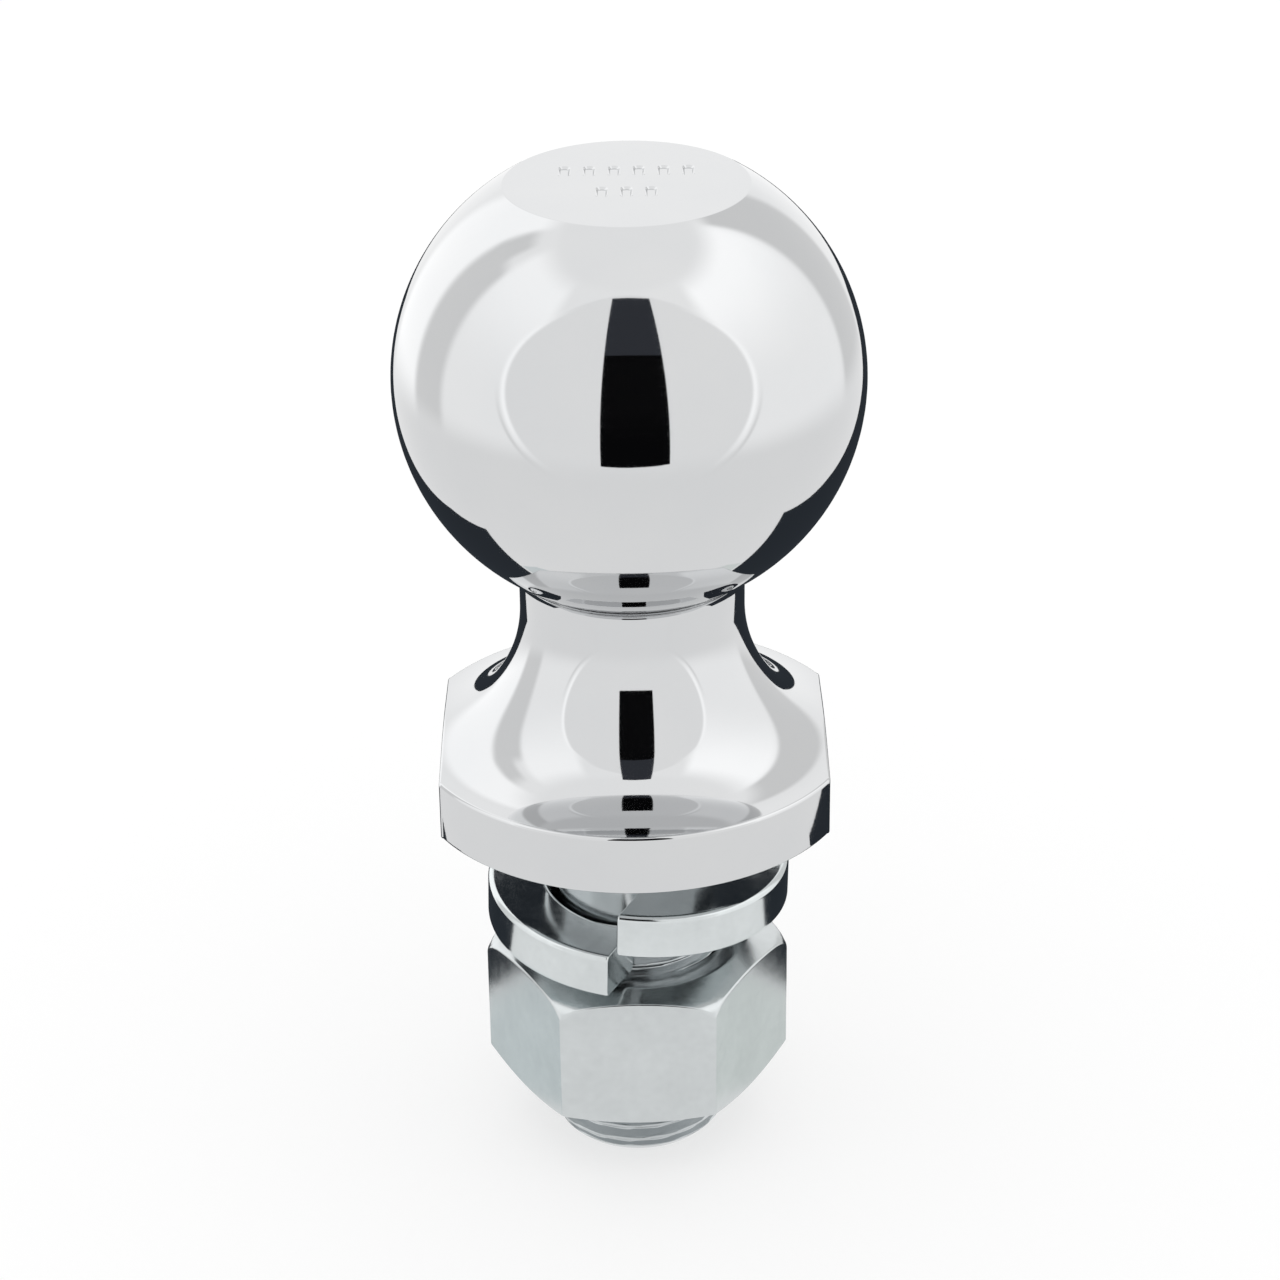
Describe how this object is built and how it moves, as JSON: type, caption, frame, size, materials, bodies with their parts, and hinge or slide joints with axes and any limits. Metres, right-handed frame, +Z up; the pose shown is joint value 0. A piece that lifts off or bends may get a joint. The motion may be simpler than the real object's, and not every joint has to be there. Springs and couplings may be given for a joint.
{
  "type": "trailer hitch ball",
  "caption": "Trailer hitch ball: a chromed ball on a flanged, threaded shank, with a split lock washer and a hex nut that screws along the shank.",
  "frame": {"origin": "centre of the flange's underside, on the shank's axis", "axes": "+Z up along the shank towards the ball; the flange's wrench flats face +X and -X"},
  "size_m": [0.0476, 0.0476, 0.1084],
  "materials": {
    "chrome": "polished",
    "washer_zinc": "bright zinc, satin",
    "nut_zinc": "bright zinc, satin"
  },
  "bodies": {
    "ball_stud": {"ball_stud": "chrome"},
    "washer": {"lock_washer": "washer_zinc"},
    "nut": {"hex_nut": "nut_zinc"}
  },
  "joints": [
    {"name": "washer_slide", "type": "slide", "parent": "ball_stud", "child": "washer", "axis": [0, 0, -1], "range_m": [-0.00476, 0.06]},
    {"name": "nut_turn", "type": "hinge", "parent": "washer", "child": "nut", "pos_m": [0, 0, -0.026], "axis": [0, 0, -1], "range_deg": [-1080.5, 13607]}
  ],
  "couplings": [
    {"joint": "nut_turn", "follows": "washer_slide", "rad_per_m": 3957.9}
  ]
}
